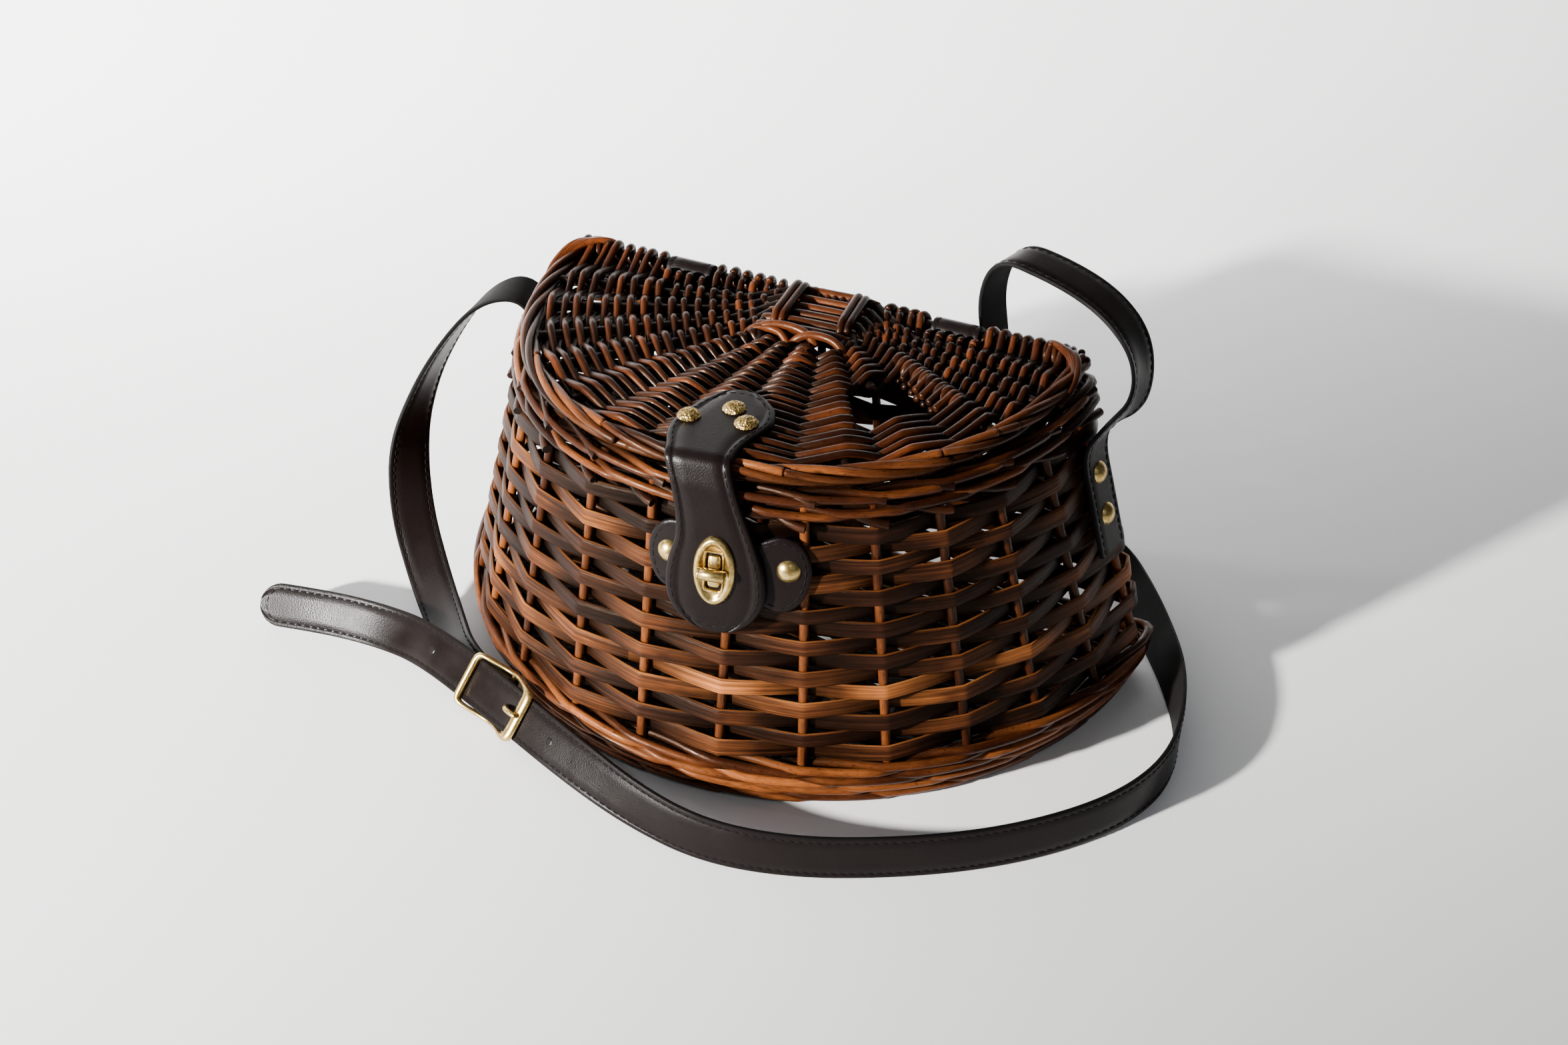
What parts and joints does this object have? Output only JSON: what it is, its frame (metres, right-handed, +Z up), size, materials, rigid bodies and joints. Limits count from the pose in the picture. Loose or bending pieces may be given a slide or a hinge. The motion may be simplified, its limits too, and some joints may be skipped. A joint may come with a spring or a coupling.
{
  "type": "wicker picnic basket",
  "caption": "Creel-style wicker picnic basket with a flat back, hinged woven lid, leather turn-lock flap and a buckled leather shoulder strap.",
  "frame": {"origin": "middle of the footprint on the floor, under the foot waling", "axes": "+X to the basket's right as seen from its bowed front, +Y to the flat back, +Z up"},
  "size_m": [0.4536, 0.2915, 0.1957],
  "materials": {
    "split_willow": "satin",
    "round_willow": "semi-gloss",
    "dark_leather": "satin",
    "aged_brass": "worn satin"
  },
  "bodies": {
    "basket": {"base_weave": "split_willow", "base_sticks": "round_willow", "stakes": "round_willow", "foot_waling": "round_willow", "side_weave": "split_willow", "upper_waling": "round_willow", "rim_border": "round_willow", "hinge_loop_left": "dark_leather", "hinge_loop_right": "dark_leather", "latch_patch": "dark_leather", "latch_patch_rivets": "aged_brass", "lock_base": "aged_brass", "strap_right": "dark_leather", "strap_left": "dark_leather", "anchor_rivets_right": "aged_brass", "anchor_rivets_left": "aged_brass", "buckle_frame": "aged_brass"},
    "lid": {"lid_border": "round_willow", "lid_weave": "split_willow", "lid_ribs": "round_willow", "lid_back_rod": "round_willow", "lid_back_wrap": "round_willow", "lid_centre_band": "round_willow", "lid_bindings": "round_willow", "lid_corner_binding_left": "round_willow", "lid_corner_binding_right": "round_willow", "lid_tab": "dark_leather", "lid_tab_rivets": "aged_brass"},
    "flap": {"latch_flap": "dark_leather", "lock_plate": "aged_brass"},
    "button": {"turn_button": "aged_brass"},
    "prong": {"buckle_prong": "aged_brass"}
  },
  "joints": [
    {"name": "lid_hinge", "type": "hinge", "parent": "basket", "child": "lid", "pos_m": [0, 0.0843, 0.167], "axis": [-1, 0, 0], "range_deg": [0, 105]},
    {"name": "flap_fold", "type": "hinge", "parent": "lid", "child": "flap", "pos_m": [0.00953, -0.06627, 0.172], "axis": [-0.9903, -0.1392, 0], "range_deg": [0, 120]},
    {"name": "turn_button", "type": "hinge", "parent": "basket", "child": "button", "pos_m": [0.02339, -0.08231, 0.12558], "axis": [0.1371, -0.9752, 0.1737], "range_deg": [0, 90]},
    {"name": "prong_pivot", "type": "hinge", "parent": "basket", "child": "prong", "pos_m": [-0.09083, -0.07882, 0.01368], "axis": [-0.2487, -0.5866, -0.7707], "range_deg": [0, 10]}
  ]
}
